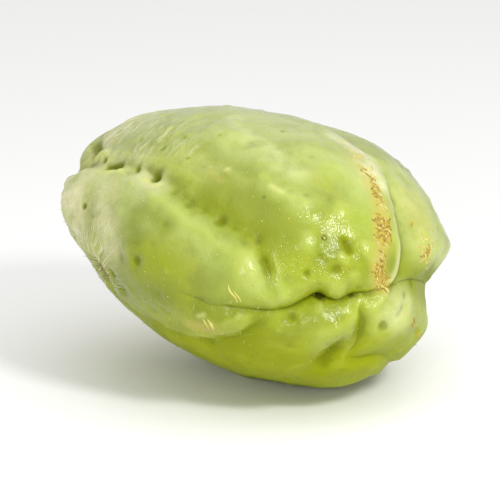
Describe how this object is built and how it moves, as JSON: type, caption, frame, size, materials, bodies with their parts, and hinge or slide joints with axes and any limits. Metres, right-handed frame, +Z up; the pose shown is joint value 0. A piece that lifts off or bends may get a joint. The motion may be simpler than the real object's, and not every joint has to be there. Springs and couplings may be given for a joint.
{
  "type": "chayote squash",
  "caption": "Whole pear-shaped chayote squash with pale green lobed skin, a wavy fold across its blossom end and a puckered stem pit, lying on its belly.",
  "frame": {"origin": "under the middle of the fruit, on the surface that it lies on", "axes": "+X from the stem end to the blossom end, +Y away from the near side, +Z up"},
  "size_m": [0.1176, 0.1008, 0.0752],
  "materials": {
    "skin": "waxy semi-gloss fruit skin, pale yellow-green with corky scars"
  },
  "bodies": {
    "root": {"chayote_fruit": "skin"}
  },
  "joints": []
}
